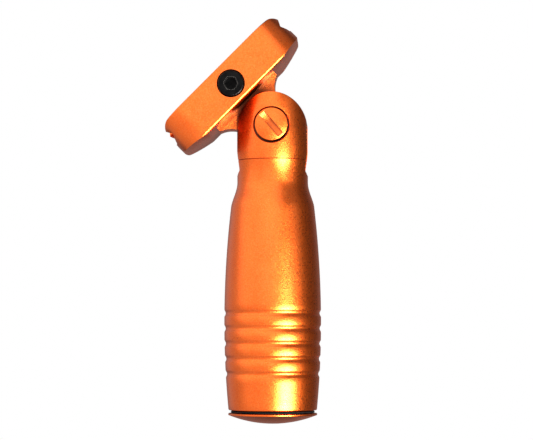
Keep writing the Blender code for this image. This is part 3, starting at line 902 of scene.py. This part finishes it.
def seal_rubber():
    look = Finish("nitrile_rubber")
    look.set(Specular_IOR_Level=0.2)
    cloud = look.noise(500.0, 4.0)
    look.link(look.ramp(cloud, ((0.3, (0.004, 0.004, 0.004)), (0.7, (0.009, 0.009, 0.0095)))), "Base Color")
    look.link(look.spread(look.noise(2200.0, 3.0), 0.45, 0.65), "Roughness")
    look.bump([(look.noise(2800.0, 3.0), 0.00001, 0.5)])
    return look.material


# ---------------------------------------------------------------- studio

def aim(thing, target):
    thing.rotation_mode = "QUATERNION"
    thing.rotation_quaternion = (Vector(target) - thing.location).to_track_quat("-Z", "Y")


def heading(azimuth, elevation):
    """A direction from the object: azimuth 0 is the viewer's side, 90 is +X."""
    a, e = math.radians(azimuth), math.radians(elevation)
    return Vector((math.sin(a) * math.cos(e), -math.cos(a) * math.cos(e), math.sin(e)))


def softbox(name, azimuth, elevation, wide, high, radiance, centre, layers=3, distance=0.8):
    """A light panel that fades towards its edges: layers of one centre, each smaller than the last.

    wide and high are the angles that the whole panel takes up, seen from the object.
    """
    for i in range(layers):
        size = 1.0 - i / (layers + 1.0)
        lamp = bpy.data.lights.new(f"{name}_{i + 1}", "AREA")
        lamp.shape = "ELLIPSE"
        lamp.size = 2.0 * distance * math.tan(math.radians(wide / 2.0)) * size
        lamp.size_y = 2.0 * distance * math.tan(math.radians(high / 2.0)) * size
        lamp.energy = radiance / layers * math.pi * lamp.size * lamp.size_y * math.pi / 4.0
        thing = bpy.data.objects.new(lamp.name, lamp)
        thing.location = centre + (distance - 0.01 * i) * heading(azimuth, elevation)
        bpy.context.scene.collection.objects.link(thing)
        aim(thing, centre)
        thing.visible_camera = False


def studio_shell(centre):
    """A round white studio: a floor well below the hanging part, a coved wall and a roof."""
    quarter = [math.radians(15.0 * i) for i in range(7)]
    inner = SHELL_REACH - SHELL_COVE
    profile = [(0.0, SHELL_FLOOR)]
    profile += [(inner + SHELL_COVE * math.sin(a), SHELL_FLOOR + SHELL_COVE * (1.0 - math.cos(a)))
                for a in quarter]
    profile += [(inner + SHELL_COVE * math.cos(a), SHELL_ROOF - SHELL_COVE + SHELL_COVE * math.sin(a))
                for a in quarter]
    profile.append((0.0, SHELL_ROOF))
    shape = bmesh.new()
    points = [shape.verts.new((r, 0.0, z)) for r, z in profile]
    edges = [shape.edges.new(pair) for pair in zip(points, points[1:])]
    bmesh.ops.spin(shape, geom=points + edges, axis=(0, 0, 1), angle=math.tau, steps=64, use_merge=True)
    bmesh.ops.remove_doubles(shape, verts=shape.verts, dist=0.0001)
    mesh = bpy.data.meshes.new("studio_shell")
    shape.to_mesh(mesh)
    shape.free()
    mesh.shade_smooth()
    shell = bpy.data.objects.new("studio_shell", mesh)
    shell.location = (centre.x, centre.y, 0.0)
    bpy.context.scene.collection.objects.link(shell)
    paint = bpy.data.materials.new("studio_white")
    paint.use_nodes = True
    shader = paint.node_tree.nodes["Principled BSDF"]
    shader.inputs["Base Color"].default_value = (0.0, 0.0, 0.0, 1.0)
    shader.inputs["Specular IOR Level"].default_value = 0.0
    shader.inputs["Emission Color"].default_value = (1.0, 1.0, 1.0, 1.0)
    shader.inputs["Emission Strength"].default_value = 1.0
    mesh.materials.append(paint)
    shell.visible_diffuse = False
    shell.visible_glossy = False
    shell.visible_shadow = False


def world_light(ambient, glows):
    """Dim air with wide soft glows, each from (azimuth, elevation, full to, gone by, strength) in degrees.

    Where glows overlap, the brightest one counts.
    """
    world = bpy.data.worlds.new("studio_air")
    world.use_nodes = True
    nodes, links = world.node_tree.nodes, world.node_tree.links
    place = nodes.new("ShaderNodeTexCoord").outputs["Generated"]
    total = None
    for azimuth, elevation, inner, outer, strength in glows:
        dot = nodes.new("ShaderNodeVectorMath")
        dot.operation = "DOT_PRODUCT"
        dot.inputs[1].default_value = heading(azimuth, elevation)
        links.new(place, dot.inputs[0])
        fade = nodes.new("ShaderNodeMapRange")
        fade.interpolation_type = "SMOOTHSTEP"
        fade.inputs["From Min"].default_value = math.cos(math.radians(outer))
        fade.inputs["From Max"].default_value = math.cos(math.radians(inner))
        fade.inputs["To Max"].default_value = strength
        links.new(dot.outputs["Value"], fade.inputs["Value"])
        brighter = nodes.new("ShaderNodeMath")
        brighter.operation = "MAXIMUM"
        brighter.inputs[0].default_value = ambient
        if total:
            links.new(total, brighter.inputs[0])
        links.new(fade.outputs["Result"], brighter.inputs[1])
        total = brighter.outputs["Value"]
    links.new(total, nodes["Background"].inputs["Strength"])
    nodes["Background"].inputs["Color"].default_value = (1.0, 0.98, 0.96, 1.0)
    bpy.context.scene.world = world


def camera():
    lens = bpy.data.cameras.new("camera")
    lens.sensor_width = SENSOR_WIDTH
    lens.lens = FOCAL_LENGTH
    thing = bpy.data.objects.new("camera", lens)
    thing.location = CAMERA_PLACE
    bpy.context.scene.collection.objects.link(thing)
    aim(thing, CAMERA_TARGET)
    lens.clip_start = 0.05
    lens.clip_end = 20.0
    bpy.context.scene.camera = thing


# ---------------------------------------------------------------- assembly

def build():
    orange = orange_anodised()
    black = black_oxide()
    steel = zinc_steel()
    piece("clamp_head_fine", clamp_head(), HEAD_PLACE, orange, "head", "clamp_head")
    piece("cross_screw_fine", cross_screw(), SCREW_PLACE, black, "cross_screw", "cross_screw")
    piece("cross_screw_nut_fine", hexagon_nut(), SCREW_PLACE, steel, "head", "cross_screw_nut")
    piece("grip_body_fine", grip_body(), FOLD_PLACE, orange, "grip", "grip_body")
    piece("pivot_screw_fine", pivot_screw(), FOLD_PLACE, orange,
          "pivot_screw", "pivot_screw")
    piece("pivot_nut_fine", pivot_nut(), FOLD_PLACE, orange, "grip", "pivot_nut")
    piece("end_cap_fine", end_cap(), FOLD_PLACE, orange, "cap", "end_cap")
    piece("cap_o_ring_fine", o_ring(), FOLD_PLACE, seal_rubber(), "seal", "cap_o_ring")
    nylon = natural_nylon()
    kept = {
        "cross_screw_washer": steel,
        "pivot_spring_washer": black,
        "pivot_bush": bearing_bronze(),
        "friction_washer_front": nylon,
        "friction_washer_rear": nylon,
    }
    for name, finish in kept.items():
        for place in frame["nodes"][name].material_slots:
            place.material = finish


build()
middle = (cad_bounds[0] + cad_bounds[1]) / 2.0
softbox("low_right_key", 36.0, -23.0, 44.0, 40.0, 36.0, middle)
studio_shell(middle)
world_light(0.08, (
    (-12.0, 30.0, 22.0, 47.0, 1.85),   # two panes of a wide left window
    (-62.0, 28.0, 20.0, 47.0, 1.7),
    (-40.0, -22.0, 15.0, 70.0, 0.95),  # the table's bounce
    (-85.0, -35.0, 10.0, 50.0, 0.7),
    (-108.0, 12.0, 15.0, 62.0, 0.6),
    (55.0, 8.0, 5.0, 34.0, 0.5),
    (60.0, 55.0, 10.0, 45.0, 0.4),
    (180.0, 5.0, 25.0, 62.0, 0.2),    # the wall behind
))
camera()
bpy.context.scene.view_settings.view_transform = "Standard"
